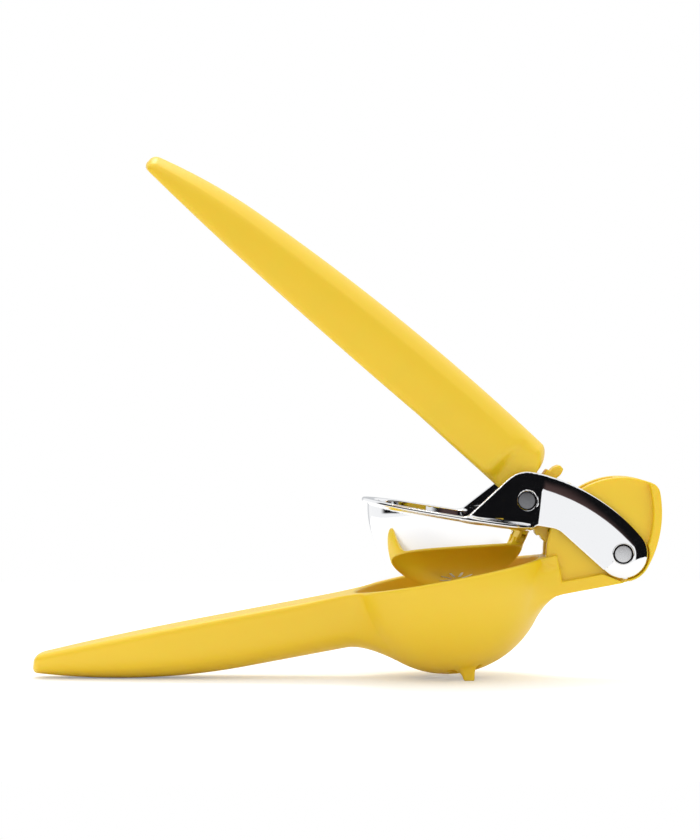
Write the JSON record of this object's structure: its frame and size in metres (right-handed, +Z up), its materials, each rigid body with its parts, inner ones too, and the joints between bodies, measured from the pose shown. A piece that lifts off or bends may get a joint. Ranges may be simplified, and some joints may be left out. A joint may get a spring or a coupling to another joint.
{
  "type": "hinged lemon squeezer",
  "caption": "Hinged citrus squeezer: slotted yellow bowl with handle, polished press cup on two ears, and an upper handle geared to a toothed fan behind the bowl.",
  "frame": {"origin": "on the table under the middle of the whole tool as it stands open, in its plane of symmetry", "axes": "+X from the handle tips to the hinge, +Y across the tool, +Z up from the table"},
  "size_m": [0.2814, 0.0898, 0.2343],
  "materials": {
    "yellow_nylon": "satin moulded glass-filled nylon",
    "yellow_nylon_upper": "satin moulded glass-filled nylon",
    "polished_casting": "polished and chromed die casting",
    "pin_steel": "turned"
  },
  "bodies": {
    "lower body": {"lower_body": "yellow_nylon"},
    "press": {"press_cup": "polished_casting", "front_pivot_pin": "pin_steel", "front_pivot_cap": "pin_steel", "rear_pivot_pin": "pin_steel", "rear_pivot_cap": "pin_steel"},
    "upper handle": {"upper_handle": "yellow_nylon_upper"}
  },
  "joints": [
    {"name": "press hinge", "type": "hinge", "parent": "lower body", "child": "press", "pos_m": [0.12285, 0, 0.05652], "axis": [0, 1, 0], "range_deg": [-20, 36]},
    {"name": "handle hinge", "type": "hinge", "parent": "press", "child": "upper handle", "pos_m": [0.07998, 0, 0.08024], "axis": [0, 1, 0], "range_deg": [-30, 54]}
  ],
  "couplings": [
    {"joint": "handle hinge", "follows": "press hinge", "ratio": 1.5}
  ]
}
